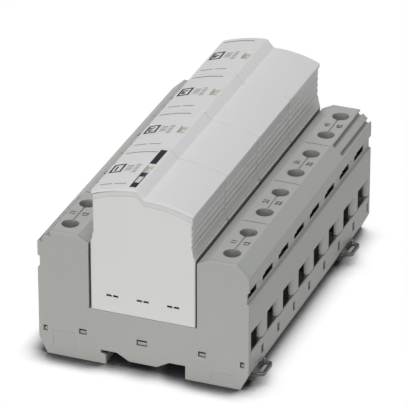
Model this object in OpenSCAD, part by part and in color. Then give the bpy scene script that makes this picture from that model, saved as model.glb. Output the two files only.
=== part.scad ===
// Pluggable surge arrester for a 35 mm top-hat rail.
// X runs across the rail, Y along it and Z up. The origin is on the rail's centre line,
// in the plane where the rail's brims seat. Heights below are counted from the underside.

/* [Base] */
// Width of one module along the rail
module_w = 18; // [17.5:0.1:20]
// Width of the base across the rail
base_w = 88; // [86:1:100]
// Height of the terminal towers
tower_h = 54.5; // [52:0.5:64]
// Distance between the two towers, where the plugs sit
bay_w = 45.2; // [43:0.2:47]
// Width of the chamfer on a tower's outer top edge
tower_chamfer_w = 5.3; // [3:0.1:6]
// Height of the chamfer on a tower's outer top edge
tower_chamfer_h = 5; // [3:0.1:6]
// Width of the bevel on a tower's inner top edge
tower_bevel_w = 4.8; // [2:0.1:6]
// Height of the bevel on a tower's inner top edge
tower_bevel_h = 2.4; // [1:0.1:4]
// Height of the parting line between the tub and the hoods
parting_h = 16; // [15.5:0.1:17]
// Height of the tray floor that the plugs stand on
tray_h = 23.6; // [22:0.1:26]
// Thickness of the outer walls and of the tray floor
wall = 2; // [1.6:0.1:2.4]
// Thickness of the end plates
end_plate_t = 1.5; // [1.2:0.1:2]
// Thickness of the ribs between two poles
rib_t = 2.4; // [1.6:0.1:3]
// Width of the slanted lower edge of the skirts
foot_slant_w = 3.4; // [2:0.1:5]
// Height of the slanted lower edge of the skirts
foot_slant_h = 7; // [5:0.1:8]
// Gap left at the seams between mouldings
seam_gap = 0.15; // [0.1:0.05:0.3]

/* [Rail channel] */
// Width of the rail over its brims
rail_w = 35; // [35:0.5:36]
// Height of the seat for the rail's brims above the underside
rail_seat_h = 5.9; // [5.5:0.1:6.5]
// Play between the rail's brims and the channel
rail_play = 0.3; // [0.2:0.1:0.6]
// Depth of the undercut that hooks over one brim
rail_hook_d = 2.1; // [1.5:0.1:3]
// Height of the undercut's mouth
rail_hook_h = 1.4; // [1.2:0.1:1.8]
// Width of the rib that reaches into the rail's trough
trough_rib_w = 11.6; // [8:0.2:14]
// Height of the rib that reaches into the rail's trough
trough_rib_h = 2.9; // [1.5:0.1:3.5]
// Width of the slopes beside that rib
trough_slope_w = 5.2; // [3:0.1:6]

/* [Terminals] */
// Diameter of the wells over the clamp screws
well_d = 7; // [6.6:0.1:8]
// Play of a screw head in its well, on the radius
head_play = 0.3; // [0.2:0.05:0.5]
// Depth of the screw heads below the tower's top
head_recess = 8; // [1:0.1:8.5]
// Height of a screw head
head_h = 4; // [3:0.1:5]
// Diameter of a screw's shank
shank_d = 5.4; // [4:0.1:6]
// Play of the shank in its clamp cage, on the radius
shank_play = 0.3; // [0.2:0.05:0.5]
// Width of the drive slots in a screw head
drive_slot_w = 1.1; // [0.8:0.1:1.4]
// Width of a wire opening inside the wall
wire_w = 10.4; // [9:0.1:11]
// Height of a wire opening above the parting line
wire_h = 8.7; // [7:0.1:9]
// Radius on the outer edges of a wire opening's jambs
jamb_r = 1.5; // [0.5:0.1:1.8]
// Width of the flat lip on a wire opening's sill
sill_lip = 0.5; // [0.4:0.1:1]
// Drop of the slope behind that lip
sill_drop = 3; // [1:0.1:3.5]
// Height of the chamber that a clamp cage travels in
chamber_h = 21.6; // [21:0.1:24]
// Wall between the chamber and the plug bay
inner_wall = 2.8; // [2:0.1:3.2]
// Thickness of a clamp cage's side walls
cage_side_t = 1.2; // [0.8:0.1:1.3]
// Thickness of a clamp cage's lower jaw
cage_jaw_t = 1.2; // [1:0.1:1.6]
// Thickness of a clamp cage's nut plate
cage_nut_t = 3.5; // [2.5:0.1:4]
// Room left in the chamber at each end of a clamp cage
cage_end_room = 2.6; // [2.4:0.1:3]
// Lift of a clamp cage from open to closed
cage_lift = 6; // [4:0.1:6]
// Thickness of a contact bar
bar_t = 1.5; // [1:0.1:1.8]

/* [Tower details] */
// Height of the groove along the side wall, from the underside
groove_z = 37.8; // [36:0.1:40]
// Width of that groove
groove_h = 5.5; // [4:0.1:6]
// Depth of that groove
groove_d = 0.9; // [0.5:0.1:1.2]
// Length of a vent in the groove
vent_l = 11.3; // [8:0.1:13]
// Height of a vent
vent_h = 4.1; // [2:0.1:4.5]
// Depth of a vent behind the side wall
vent_d = 4; // [3.5:0.1:5]
// Thickness of the wall at a vent's lower edge
vent_lip = 0.4; // [0.3:0.1:0.6]
// Width of the engraved lines on the towers
line_w = 0.6; // [0.3:0.1:0.8]
// Depth of the engraved lines on the towers
line_d = 0.4; // [0.2:0.1:0.6]
// Width of the two creases along the end pole's chamfer
crease_w = 1.9; // [0.8:0.1:2]
// Length of a snap slot in the skirts
snap_slot_l = 2.5; // [1.5:0.1:3]
// Height of a snap slot in the skirts
snap_slot_h = 4; // [3:0.1:5]
// Drop of a snap slot below the parting line
snap_slot_drop = 3; // [2.5:0.1:3.5]
// Width of the shallow panel on an end plate
panel_w = 9.6; // [6:0.1:10]
// Height of the shallow panel on an end plate
panel_h = 7; // [4:0.1:7.5]
// Height of the lower panel at the plate's other side
low_panel_h = 4.4; // [3:0.1:5]
// Depth of the shallow panels on an end plate
panel_d = 0.15; // [0.1:0.05:0.5]

/* [Plugs] */
// Gap between two plugs
plug_gap = 0.2; // [0.2:0.1:0.8]
// Gap between a plug's lower body and the towers
plug_side_gap = 0.7; // [0.5:0.1:1]
// Step from the lower body in to the grip flanks
grip_inset = 1.2; // [0.8:0.1:1.6]
// Height of the low side of a plug above the towers
low_side_h = 17.9; // [16:0.1:22]
// Height of the high side of a plug above the towers
high_side_h = 20.9; // [18:0.1:24]
// Height of the ridge above the towers
ridge_h = 25.1; // [24:0.1:30]
// Place of the ridge across the plug, from the middle
ridge_x = -1.9; // [-4:0.1:2]
// Width of the step beside the ridge
step_w = 3; // [1.6:0.1:3.6]
// Drop of the step beside the ridge
step_h = 3.4; // [1.5:0.1:4]
// Rise of the crown between the high side and the ridge
crown_h = 0.9; // [0:0.1:1.2]
// Rise of the crown between the step and the low side
low_crown_h = 1.1; // [0:0.1:1.4]
// Thickness of a plug's cover
cover_t = 1.2; // [1:0.1:2.4]
// Overhang of the cover at the flanks
cover_lip = 0.7; // [0.2:0.1:0.9]
// Thickness of a plug's walls
plug_wall = 1.8; // [1.4:0.1:2.2]
// Radius on a plug's upright edges
plug_r = 0.9; // [0.4:0.1:1.2]
// Number of grip grooves on a flank
grip_count = 4; // [2:1:5]
// Depth of a grip groove
grip_d = 0.4; // [0.2:0.1:0.6]
// Flare at the foot of a grip flank
flare_w = 0.7; // [0.3:0.1:0.8]
// Height of that flare
flare_h = 3.6; // [2:0.1:4]
// Width of a blade
blade_w = 12; // [8:0.5:14]
// Thickness of a blade
blade_t = 1.5; // [1:0.1:1.8]
// Distance of a blade from the middle of the plug
blade_x = 15; // [13:0.5:16]
// Width of a status window across the plug
window_w = 3; // [2.4:0.1:4]
// Length of a status window along the plug
window_l = 6.6; // [5:0.1:7]
// Place of a status window along the plug, from its middle
window_y = 0.6; // [-1:0.1:2]
// Travel of a status flag
flag_travel = 6.8; // [6:0.1:8]

/* [Rail latches] */
// Width of a latch
latch_w = 10.6; // [8:0.1:11]
// Thickness of a latch
latch_t = 2.6; // [2.2:0.1:3]
// Height of a latch's lower face above the underside
latch_z = 1.9; // [1.7:0.1:2]
// Length of the pull loop outside the wall
loop_out = 4.5; // [4:0.1:6]
// Travel of a latch
latch_travel = 4; // [3.5:0.1:4.5]
// Width of the frame round a latch's openings
loop_frame = 1.4; // [1.2:0.1:2]
// Thickness of the pull loop
loop_t = 1.2; // [1:0.1:1.6]
// Radius on the pull loop's outer corners
loop_r = 1.8; // [0.8:0.1:2.4]
// Distance of the near latch from the near end
latch_near_inset = 10.7; // [9:0.1:12]
// Distance of the far latch from the far end
latch_far_inset = 29.3; // [26:0.1:29.6]
// Height of the upright tab on a latch
latch_tab_h = 2.6; // [2:0.1:4]
// Play of a latch in its slot
latch_play = 0.2; // [0.15:0.05:0.3]

/* [Hidden] */
poles = 4;
modules = 8;
eps = 0.01;
sides = ["right", "left"];
terminal_ids = [for (i = [1:modules]) i];
pole_ids = [for (i = [1:poles]) i];

base_l = modules * module_w;
pole_l = base_l / poles;
half_w = base_w / 2;
half_l = base_l / 2;
body_l = base_l - 2 * (end_plate_t + seam_gap);
bay_half = bay_w / 2;
function module_y(i) = -half_l + (i - 0.5) * module_w;
function pole_y(i) = -half_l + (i - 0.5) * pole_l;

// Tower
hood_z0 = parting_h + seam_gap;
tower_flat_out = half_w - tower_chamfer_w;
tower_flat_in = bay_half + tower_bevel_w;
chamber_top = hood_z0 + chamber_h;
chamber_in = bay_half + inner_wall;
chamber_out = half_w - wall;
screw_x = (chamber_in + chamber_out) / 2;
wire_top = parting_h + wire_h;
head_top = tower_h - head_recess;
head_d = well_d - 2 * head_play;

// Rebate along a hood's lower edge, which shows as a dark line above the tub
shadow_w = 0.6;
shadow_h = 0.2;

// Clamp cage at its open rest place
running_gap = 0.3;
cage_len = chamber_out - chamber_in - 2 * cage_end_room;
cage_z0 = hood_z0 + seam_gap;
cage_inner_w = wire_w - 0.8;
cage_w = cage_inner_w + 2 * cage_side_t;
jaw_top = cage_z0 + cage_jaw_t;
bar_z = max(wire_top + 0.2, jaw_top + cage_lift + running_gap);
nut_z = bar_z + bar_t + running_gap + 0.2;
cage_top = nut_z + cage_nut_t;
cage_x0 = screw_x - cage_len / 2;
screw_tip = bar_z + bar_t + running_gap;

// Contact bar
web_x = chamber_in + running_gap;
foot_z = parting_h - 4.4;
tongue_w = cage_inner_w - 0.8;
tongue_end = cage_x0 + cage_len - 0.4;
fork_leaf_t = 1;
fork_h = 6;
fork_gap = 0.2;

// Tub
cavity_z = rail_seat_h + 2.1;
table_z = tray_h - wall;
table_half = bay_half - seam_gap;
slot_side_play = 0.4;

// Rail channel
rail_half = rail_w / 2;
channel_right = rail_half + rail_play - 0.1;
channel_left = rail_half + rail_play + 0.1;
hook_lip_x = channel_left - rail_hook_d;
trough_rib_z = rail_seat_h - trough_rib_h;

// Plug
plug_l = pole_l - plug_gap;
plug_z0 = tray_h + seam_gap;
plug_low_half = bay_half - plug_side_gap;
grip_half = plug_low_half - grip_inset;
cover_half = grip_half + cover_lip;
ledge_z = tower_h - 1.1;
flare_z = ledge_z + 0.5;
flare_top = flare_z + flare_h;
grip_z0 = tower_h + 4;
low_z = tower_h + low_side_h;
high_z = tower_h + high_side_h;
ridge_z = tower_h + ridge_h;
cover_drop = cover_t + seam_gap;
cavity_half = grip_half - grip_d - plug_wall;
plug_floor_z = plug_z0 + plug_wall;
grip_pitch = (low_z - cover_t - 4.5 - grip_z0) / (grip_count - 1);
rim_drop = 3.5;
rim_d = 0.4;
end_slot_w = 5;
end_slot_h = 0.9;
end_slot_bridge = 0.6;
end_slot_lip = 0.6;
end_slot_pitch = 12.7;
end_slot_z = plug_z0 + 6.8;

// Status flag under the sloped half of the cover
flag_t = 1;
flag_margin = 0.6;
flag_w = window_w + 2 * flag_margin;
flag_l = window_l + flag_travel + 2 * flag_margin;
flag_y = flag_margin - (flag_l - window_l) / 2;
guide_t = 1;
guide_h = 2;
guide_bite = 0.1;
window_x = ridge_x - 1.1 - window_w / 2;
high_run = ridge_x + cover_half;
window_t = (window_x + cover_half) / high_run;
window_slope = atan((ridge_z - high_z + 4 * crown_h * (1 - 2 * window_t)) / high_run);

// Latch
latch_nose = rail_half - 2.7;
latch_end = half_w + loop_out;
latch_top = latch_z + latch_t;
spring_l = 2 * latch_travel + 2.4;
spring_d = latch_t - 0.3;
spring_wire = 0.4;
spring_turns = 7;
stop_t = 1;
stop_inset = 7.4;
stop_x = half_w - stop_inset;
spring_x0 = stop_x - spring_l;
latch_stop_half = latch_w / 2 - loop_frame - running_gap;
latch_window = [spring_x0, stop_x + stop_t + running_gap];
loop_hole_x = half_w - 0.9;
loop_bend_x = half_w + 0.3;
loop_lift = 1.2;
loop_z = latch_top - loop_t + loop_lift;
latch_ys = [-half_l + latch_near_inset, half_l - latch_far_inset];
latch_tab_gap = 0.4;
latch_tab_t = 0.8;

// Snap windows in the end plates: place across, height, width and height of the opening
snap_hook_out = 0.9;
snap_play = 0.3;
snap_head_room = 1;
inner_snaps = [[-25.4, 12.4, 3.2, 2.5], [-0.5, 12.3, 4.4, 2.7], [24.6, 12.4, 3.2, 2.5]];
outer_snap_x = half_w - 2.7;
outer_snaps = [for (s = [-1, 1]) [s * outer_snap_x, 11.1, 1.7, 2.6]];
snaps = concat(inner_snaps, outer_snaps);

// Shallow panels on the end plates, the taller on the hook side of the near one
panel_x = half_w - 10.7;
panel_z = 7.3;
low_panel_z = 3.6;

// Places its children from heights above the underside into the rail's frame
module from_underside() {
    translate([0, 0, -rail_seat_h]) children();
}

// Extrudes a profile drawn in X and Z between two places along the rail
module along_y(y0, y1) {
    translate([0, y1, 0]) rotate([90, 0, 0]) linear_extrude(y1 - y0) children();
}

// A block given by its lowest and highest corners
module block(low, high) {
    translate(low) cube(high - low);
}

// Turns right-hand geometry round to the left side
module on_side(side) {
    rotate([0, 0, side == "right" ? 0 : 180]) children();
}

// Space of the rail channel, open at the underside
module channel_profile() {
    polygon([
        [-hook_lip_x, -1],
        [-hook_lip_x, rail_seat_h - rail_hook_h - 0.6],
        [-channel_left, rail_seat_h - rail_hook_h],
        [-channel_left, rail_seat_h],
        [-trough_rib_w / 2 - trough_slope_w, rail_seat_h],
        [-trough_rib_w / 2, trough_rib_z],
        [trough_rib_w / 2, trough_rib_z],
        [trough_rib_w / 2 + trough_slope_w, rail_seat_h],
        [channel_right, rail_seat_h],
        [channel_right, -1]]);
}

// Outline of the skirts, from the underside up to a height
module skirt_profile(top) {
    foot_half = half_w - foot_slant_w;
    polygon([
        [-foot_half, 0], [foot_half, 0], [half_w, foot_slant_h],
        [half_w, top], [-half_w, top], [-half_w, foot_slant_h]]);
}

// Outline of the right-hand tower
module tower_profile(z0, inner = bay_half) {
    polygon([
        [inner, z0], [half_w, z0], [half_w, tower_h - tower_chamfer_h],
        [tower_flat_out, tower_h], [tower_flat_in, tower_h],
        [inner, tower_h - tower_bevel_h]]);
}

// Groove that runs along the right-hand side wall
module side_groove_profile() {
    polygon([
        [half_w - groove_d, groove_z + 0.4], [half_w + 1, groove_z - 0.5],
        [half_w + 1, groove_z + groove_h + 0.5], [half_w - groove_d, groove_z + groove_h - 0.4]]);
}

// Two round-ended creases along the right-hand tower's chamfer, on the end pole
module creases() {
    chamfer_l = norm([tower_chamfer_w, tower_chamfer_h]);
    sink = 0.3 * crease_w;
    edge = 0.75 * crease_w;
    translate([tower_flat_out, half_l - pole_l + rib_t, tower_h])
        rotate([0, atan(tower_chamfer_h / tower_chamfer_w), 0])
            for (x = [edge, chamfer_l - edge]) translate([x, 0, -sink]) {
                sphere(d = crease_w, $fn = 32);
                rotate([-90, 0, 0]) cylinder(d = crease_w, h = pole_l, $fn = 32);
            }
}

// Tower details that the hoods and the end plates share, for the right side
module tower_cuts(y0, y1) {
    along_y(y0, y1) side_groove_profile();
    creases();
}

module base_tub() {
    color([0.63, 0.64, 0.62]) difference() {
        union() {
            along_y(-body_l / 2, body_l / 2) skirt_profile(parting_h);
            block([-table_half, -body_l / 2, parting_h - eps], [table_half, body_l / 2, tray_h]);
            snap_hooks();
        }
        along_y(-half_l, half_l) channel_profile();
        for (i = pole_ids) pole_cavity(i);
        for (y = latch_ys) latch_slot(y);
        for (i = terminal_ids, s = sides) on_side(s) {
            snap_slot(module_y(i));
            sill_slope(module_y(i));
        }
        underside_pockets();
    }
}

// Space under one plug, from the latch deck up to the tray, with slots for its blades
module pole_cavity(i) {
    clear_end = body_l / 2 - wall + eps;
    y0 = max(pole_y(i) - pole_l / 2 + rib_t / 2, -clear_end);
    y1 = min(pole_y(i) + pole_l / 2 - rib_t / 2, clear_end);
    block([-chamber_out, y0, cavity_z], [chamber_out, y1, parting_h + eps]);
    block([-table_half - 1, y0, parting_h - 1], [table_half + 1, y1, table_z]);
    for (s = [-1, 1])
        translate([s * blade_x, pole_y(i), tray_h - wall / 2])
            cube([blade_t + 2 * slot_side_play, blade_w + 2 * slot_side_play, 2 * wall], center = true);
}

// Slot for a latch, with the stop that carries its spring left standing
module latch_slot(y) {
    half_slot = latch_w / 2 + latch_play;
    difference() {
        block([channel_right - 1, y - half_slot, latch_z - latch_play],
              [half_w + 1, y + half_slot, latch_top + latch_play]);
        block([stop_x, y - latch_stop_half, latch_z - 1],
              [stop_x + stop_t, y + latch_stop_half, latch_top + 1]);
    }
}

// Slot in the skirt where a hood's tongue snaps in, at the end of a module
module snap_slot(y) {
    y1 = y + module_w / 2 - 1.1;
    z1 = parting_h - snap_slot_drop;
    block([chamber_out - 1, y1 - snap_slot_l, z1 - snap_slot_h], [half_w + 1, y1, z1]);
}

// Slope behind the sill of a wire opening, down into the chamber
module sill_slope(y) {
    along_y(y - wire_w / 2, y + wire_w / 2) polygon([
        [half_w - sill_lip, parting_h + 1], [half_w - sill_lip, parting_h],
        [chamber_out, parting_h - sill_drop], [chamber_out - 1, parting_h - sill_drop],
        [chamber_out - 1, parting_h + 1]]);
}

// Hooks that hold the end plates, each with head room in its window
module snap_hooks() {
    hook_l = snap_hook_out + seam_gap;
    for (w = snaps, e = [-1, 1])
        let (hook_w = w[2] - 2 * snap_play, hook_h = w[3] - snap_play - snap_head_room)
            translate([w[0], e * (body_l / 2 + hook_l / 2 - eps),
                       w[1] - (snap_head_room - snap_play) / 2])
                cube([hook_w, hook_l + 2 * eps, hook_h], center = true);
}

// Core-outs under the skirts, away from the latches
module underside_pockets() {
    pocket_in = channel_left + wall;
    pocket_out = half_w - foot_slant_w - wall;
    depth = cavity_z - wall - 0.4;
    for (i = pole_ids) {
        y0 = pole_y(i) - pole_l / 2 + rib_t;
        y1 = pole_y(i) + pole_l / 2 - rib_t;
        block([-pocket_out, y0, -1], [-pocket_in, y1, depth]);
        if (i > 1 && i < poles)
            block([pocket_in, y0, -1], [pocket_out, y1, depth]);
    }
}

module terminal_hood(side) {
    color([0.66, 0.67, 0.65]) on_side(side) difference() {
        along_y(-body_l / 2, body_l / 2) tower_profile(hood_z0);
        tower_cuts(-half_l, half_l);
        for (i = pole_ids) terminal_chamber(i);
        for (i = terminal_ids) terminal_openings(module_y(i));
        for (i = [1:poles - 1]) pole_line(pole_y(i) + pole_l / 2);
        for (i = pole_ids) link_line(pole_y(i));
        block([half_w - shadow_w, -half_l, hood_z0 - 1], [half_w + 1, half_l, hood_z0 + shadow_h]);
    }
}

// Chamber for one pole's two clamps
module terminal_chamber(i) {
    half_chamber = pole_l / 2 - rib_t / 2;
    block([chamber_in, pole_y(i) - half_chamber, hood_z0 - 1],
          [chamber_out, pole_y(i) + half_chamber, chamber_top]);
}

// Screw well, wire opening and vent of one terminal
module terminal_openings(y) {
    vent_y = y - module_w / 2 - 0.4;
    translate([screw_x, y, chamber_top - 1])
        cylinder(d = well_d, h = tower_h - chamber_top + 2, $fn = 48);
    block([chamber_out - 1, y - wire_w / 2, hood_z0 - 1], [half_w + 1, y + wire_w / 2, wire_top]);
    for (s = [-1, 1]) translate([half_w, y + s * wire_w / 2, hood_z0 - 1]) jamb_round(s);
    along_y(vent_y, vent_y + vent_l) vent_profile();
}

// Vent through the right-hand side wall, sloping down into the chamber
module vent_profile() {
    vent_z1 = groove_z + groove_h + 0.6;
    vent_z0 = vent_z1 - vent_h;
    inner_z = min(chamber_top - 0.5, vent_z0 - 0.5);
    polygon([
        [half_w + 1, vent_z0], [half_w + 1, vent_z1], [half_w - vent_d, vent_z1],
        [half_w - vent_d, inner_z], [chamber_out - vent_lip, inner_z],
        [half_w - groove_d - vent_lip, vent_z0]]);
}

// What rounding takes off the outer edge of a wire opening's jamb
module jamb_round(side) {
    h = wire_top - hood_z0 + 1;
    linear_extrude(h) difference() {
        translate([-jamb_r, side > 0 ? -eps : -jamb_r]) square([jamb_r + 1, jamb_r + eps]);
        translate([-jamb_r, side * jamb_r]) circle(r = jamb_r, $fn = 48);
    }
}

// Engraved line across a tower's top between two poles
module pole_line(y) {
    line_end = 0.5;
    block([tower_flat_in + line_end, y - line_w / 2, tower_h - line_d],
          [tower_flat_out - line_end, y + line_w / 2, tower_h + 1]);
}

// Engraved line between the two wells of a pole
module link_line(y) {
    line_half = module_w / 2 - well_d / 2 + 0.2;
    block([screw_x - line_w / 2, y - line_half, tower_h - line_d],
          [screw_x + line_w / 2, y + line_half, tower_h + 1]);
}

module end_plate(end) {
    y0 = end > 0 ? half_l - end_plate_t : -half_l;
    color([0.65, 0.66, 0.64]) difference() {
        union() {
            along_y(y0, y0 + end_plate_t) difference() {
                skirt_profile(tray_h);
                channel_profile();
            }
            for (s = sides) on_side(s)
                along_y(end_plate_y0(end, s), end_plate_y0(end, s) + end_plate_t)
                    tower_profile(tray_h - eps);
        }
        for (s = sides) on_side(s) tower_cuts(-half_l - 1, half_l + 1);
        for (w = snaps)
            translate([w[0], y0 + end_plate_t / 2, w[1]])
                cube([w[2], 2 * end_plate_t, w[3]], center = true);
        translate([end * panel_x, end * half_l, panel_z])
            cube([panel_w, 2 * panel_d, panel_h], center = true);
        translate([-end * panel_x, end * half_l, low_panel_z])
            cube([panel_w, 2 * panel_d, low_panel_h], center = true);
    }
}
function end_plate_y0(end, side) = (side == "right" ? end : -end) > 0 ? half_l - end_plate_t : -half_l;

module rail_latch(y) {
    opening_half = latch_w / 2 - loop_frame;
    tab_x = half_w + latch_tab_gap;
    color([0.24, 0.25, 0.25]) difference() {
        union() {
            intersection() {
                along_y(y - latch_w / 2, y + latch_w / 2) polygon([
                    [latch_nose, latch_top], [latch_nose, latch_top - 0.7],
                    [latch_nose + latch_t - 0.7, latch_z], [loop_bend_x - 0.9, latch_z],
                    [loop_bend_x + loop_lift, loop_z], [latch_end, loop_z],
                    [latch_end, latch_top + loop_lift], [loop_bend_x + loop_lift, latch_top + loop_lift],
                    [loop_bend_x, latch_top]]);
                translate([0, y, 0]) linear_extrude(latch_top + loop_lift + 1) latch_plan();
            }
            block([tab_x, y + opening_half, latch_top - eps],
                  [tab_x + latch_tab_t, y + latch_w / 2, latch_top + latch_tab_h]);
        }
        block([latch_window[0], y - opening_half, latch_z - 1],
              [latch_window[1], y + opening_half, latch_top + 1]);
        block([loop_hole_x, y - opening_half, latch_z - 1],
              [latch_end - loop_frame, y + opening_half, latch_top + loop_lift + 1]);
    }
}

// Outline of a latch from above, with rounded outer corners
module latch_plan() {
    half = latch_w / 2;
    translate([latch_nose - 1, -half]) square([latch_end - loop_r - latch_nose + 1, latch_w]);
    translate([latch_nose, loop_r - half]) square([latch_end - latch_nose, latch_w - 2 * loop_r]);
    for (s = [-1, 1]) translate([latch_end - loop_r, s * (half - loop_r)]) circle(r = loop_r, $fn = 48);
}

// Direction from the spring's axis to its wire, at a share t of its length
function spring_out(t) = [0, cos(360 * spring_turns * t), sin(360 * spring_turns * t)];

// Compression spring between the stop and the latch
module latch_spring(y) {
    ring_n = 6;
    steps = spring_turns * 12;
    radius = (spring_d - spring_wire) / 2;
    points = [for (i = [0:steps]) let (t = i / steps, out = spring_out(t))
        for (k = [0:ring_n - 1]) let (a = 360 * k / ring_n)
            [t * (spring_l - spring_wire), 0, 0] + radius * out
                + spring_wire / 2 * (cos(a) * out + sin(a) * [1, 0, 0])];
    faces = concat(
        [[for (k = [0:ring_n - 1]) k]],
        [for (i = [0:steps - 1], k = [0:ring_n - 1]) let (a = i * ring_n, n = (k + 1) % ring_n)
            [a + k, a + ring_n + k, a + ring_n + n, a + n]],
        [[for (k = [ring_n - 1:-1:0]) steps * ring_n + k]]);
    color([0.75, 0.75, 0.75])
        translate([spring_x0 + spring_wire / 2, y, latch_z + latch_t / 2]) polyhedron(points, faces);
}

module contact_bars(side) {
    color([0.80, 0.55, 0.35]) on_side(side) for (i = pole_ids) contact_bar(pole_y(i));
}

// One contact bar: two tongues in the clamps, a web, a foot and the fork for the blade
module contact_bar(y) {
    bar_half = pole_l / 2 - rib_t / 2 - 3;
    foot_half = blade_w / 2;
    fork_out = blade_t / 2 + fork_gap;
    block([web_x, y - bar_half, bar_z], [cage_x0 - running_gap, y + bar_half, bar_z + bar_t]);
    for (s = [-1, 1])
        block([cage_x0 - running_gap - eps, y + s * module_w / 2 - tongue_w / 2, bar_z],
              [tongue_end, y + s * module_w / 2 + tongue_w / 2, bar_z + bar_t]);
    block([web_x, y - foot_half, foot_z], [web_x + bar_t, y + foot_half, bar_z + eps]);
    fork_in = blade_x - fork_out - fork_leaf_t;
    block([fork_in, y - foot_half, foot_z], [web_x + eps, y + foot_half, foot_z + bar_t]);
    for (x = [fork_in, blade_x + fork_out])
        block([x, y - foot_half, foot_z + bar_t - eps],
              [x + fork_leaf_t, y + foot_half, foot_z + bar_t + fork_h]);
}

module clamp_screw(side, i) {
    color([0.45, 0.46, 0.45]) on_side(side) translate([screw_x, module_y(i), 0]) difference() {
        union() {
            translate([0, 0, screw_tip])
                cylinder(d = shank_d, h = head_top - head_h - screw_tip + eps, $fn = 48);
            translate([0, 0, head_top - head_h]) cylinder(d = head_d, h = head_h, $fn = 48);
        }
        translate([0, 0, head_top]) cube([head_d + 1, drive_slot_w, 3], center = true);
        translate([0, 0, head_top]) cube([drive_slot_w, head_d * 0.6, 3], center = true);
    }
}

module clamp_cage(side, i) {
    color([0.70, 0.70, 0.66]) on_side(side) translate([screw_x, module_y(i), 0]) difference() {
        block([-cage_len / 2, -cage_w / 2, cage_z0], [cage_len / 2, cage_w / 2, cage_top]);
        block([-cage_len, -cage_inner_w / 2, jaw_top], [cage_len, cage_inner_w / 2, nut_z]);
        translate([0, 0, nut_z - 1]) cylinder(d = shank_d + 2 * shank_play, h = cage_nut_t + 2, $fn = 48);
    }
}

// Line of the plug's top, from the high side to the low side, lowered by a drop
function top_line(half, drop) = concat(
    crowned([-half, high_z - drop], [ridge_x, ridge_z - drop], crown_h, 6),
    crowned([ridge_x + step_w, ridge_z - step_h - drop], [half, low_z - drop], low_crown_h, 8));

// Line between two points that rises in its middle, in n steps
function crowned(a, b, rise, n) =
    [for (k = [0:n]) let (t = k / n) a + t * (b - a) + [0, 4 * rise * t * (1 - t)]];

function reversed(list) = [for (k = [len(list) - 1:-1:0]) list[k]];

// Flare and grip grooves up one flank, on the side given by sign
function flank_line(sign) = concat(
    [for (k = [0:4]) let (t = k / 4)
        [sign * (grip_half + flare_w * (1 - t) * (1 - t)), flare_z + t * flare_h]],
    [for (k = [0:grip_count - 1], p = [[0, -0.34], [grip_d, -0.1], [grip_d, 0.1], [0, 0.34]])
        [sign * (grip_half - p[0]), grip_z0 + (k + p[1]) * grip_pitch]]);

// Outline of a plug's housing
module plug_profile() {
    lower_right = [[plug_low_half, plug_z0], [plug_low_half, ledge_z], [grip_half + flare_w, ledge_z]];
    lower_left = [for (p = reversed(lower_right)) [-p[0], p[1]]];
    polygon(concat(lower_right, flank_line(1), reversed(top_line(grip_half, cover_drop)),
        reversed(flank_line(-1)), lower_left));
}

// Upright block on a plug's plan, with rounded corners
module rounded_block(half, z0, z1) {
    translate([0, 0, z0]) linear_extrude(z1 - z0) {
        square([2 * half, plug_l - 2 * plug_r], center = true);
        square([2 * (half - plug_r), plug_l], center = true);
        for (sx = [-1, 1], sy = [-1, 1])
            translate([sx * (half - plug_r), sy * (plug_l / 2 - plug_r)]) circle(r = plug_r, $fn = 32);
    }
}

module plug_housing(i) {
    color([0.80, 0.80, 0.79]) translate([0, pole_y(i), 0]) difference() {
        intersection() {
            along_y(-plug_l / 2, plug_l / 2) plug_profile();
            union() {
                rounded_block(plug_low_half, plug_z0, flare_top);
                rounded_block(grip_half, flare_top - eps, ridge_z);
            }
        }
        block([-cavity_half, -plug_l / 2 + plug_wall, plug_floor_z],
              [cavity_half, plug_l / 2 - plug_wall, ridge_z]);
        for (s = [-1, 1]) {
            translate([s * blade_x, 0, plug_z0])
                cube([blade_t + slot_side_play, blade_w + slot_side_play, 4 * plug_wall], center = true);
            end_face_marks(s);
        }
    }
}

// Set-back band under the cover and three small slots on a plug's end faces
module end_face_marks(end) {
    y = end * plug_l / 2;
    band_half = grip_half + eps;
    along_y(y - rim_d, y + rim_d)
        polygon(concat(top_line(band_half, 0), reversed(top_line(band_half, rim_drop))));
    for (k = [-1:1]) translate([k * end_slot_pitch, y, end_slot_z]) {
        translate([0, -end * (plug_wall + end_slot_lip), 0])
            cube([end_slot_w, 2 * plug_wall, 4 * end_slot_h], center = true);
        for (s = [-1, 1]) translate([s * (end_slot_w + end_slot_bridge) / 4, 0, end_slot_h / 2])
            cube([(end_slot_w - end_slot_bridge) / 2, 4 * end_slot_lip, end_slot_h], center = true);
    }
}

module plug_cover(i) {
    color([0.83, 0.83, 0.82]) translate([0, pole_y(i), 0]) {
        difference() {
            intersection() {
                along_y(-plug_l / 2, plug_l / 2)
                    polygon(concat(top_line(cover_half, 0), reversed(top_line(cover_half, cover_t))));
                rounded_block(cover_half, low_z - cover_t - 1, ridge_z + 1);
            }
            block([window_x - window_w / 2, window_y - window_l / 2, low_z],
                  [window_x + window_w / 2, window_y + window_l / 2, ridge_z + 1]);
        }
        flag_guides();
    }
}

// Frame of the sloped half of the cover, with its surface at height zero under the window
module on_slope() {
    z = high_z + window_t * (ridge_z - high_z) + 4 * crown_h * window_t * (1 - window_t) - cover_t;
    translate([window_x, window_y, z]) rotate([0, -window_slope, 0]) children();
}

// Two ribs under the cover that guide the status flag
module flag_guides() {
    guide_x = flag_w / 2 + running_gap + guide_t / 2;
    on_slope() for (s = [-1, 1])
        translate([s * guide_x, flag_y + flag_travel / 2, guide_bite - guide_h / 2])
            cube([guide_t, flag_l + flag_travel, guide_h], center = true);
}

module status_flag(i) {
    color([0.55, 0.75, 0.45]) translate([0, pole_y(i), 0]) on_slope()
        translate([0, flag_y, -2 * running_gap - flag_t / 2])
            cube([flag_w, flag_l, flag_t], center = true);
}

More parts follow.
